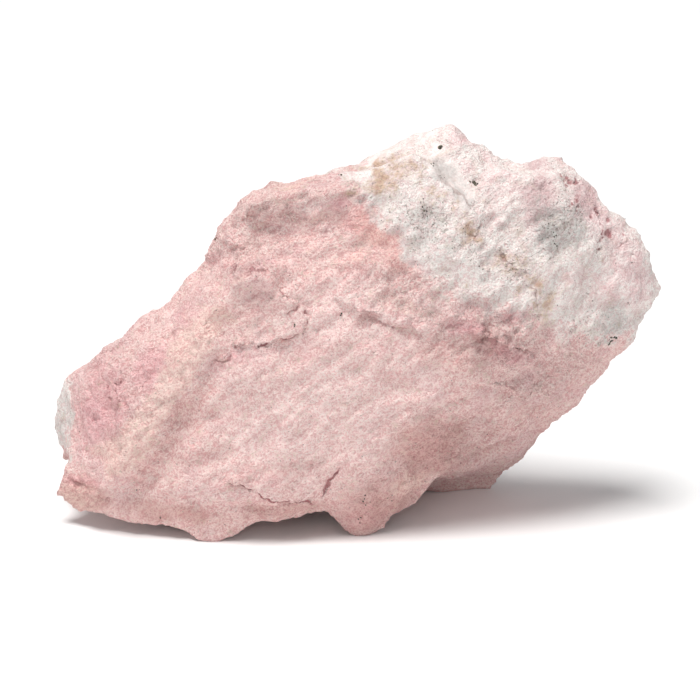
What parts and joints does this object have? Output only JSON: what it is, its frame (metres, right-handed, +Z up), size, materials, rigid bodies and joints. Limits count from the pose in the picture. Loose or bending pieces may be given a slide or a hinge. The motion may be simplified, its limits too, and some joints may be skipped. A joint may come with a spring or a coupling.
{
  "type": "rhodochrosite specimen",
  "caption": "Rough hand specimen of pale pink rhodochrosite with a grey-white quartz end, standing free on its own broken feet.",
  "frame": {"origin": "centre of the stone's box at the surface it stands on", "axes": "+X to the right along the long side, broad pink face towards -Y, +Z up"},
  "size_m": [0.0684, 0.0244, 0.045],
  "materials": {
    "pale_pink_stone": "dry, matt, sugary broken surface"
  },
  "bodies": {
    "root": {"rhodochrosite_stone": "pale_pink_stone"}
  },
  "joints": []
}
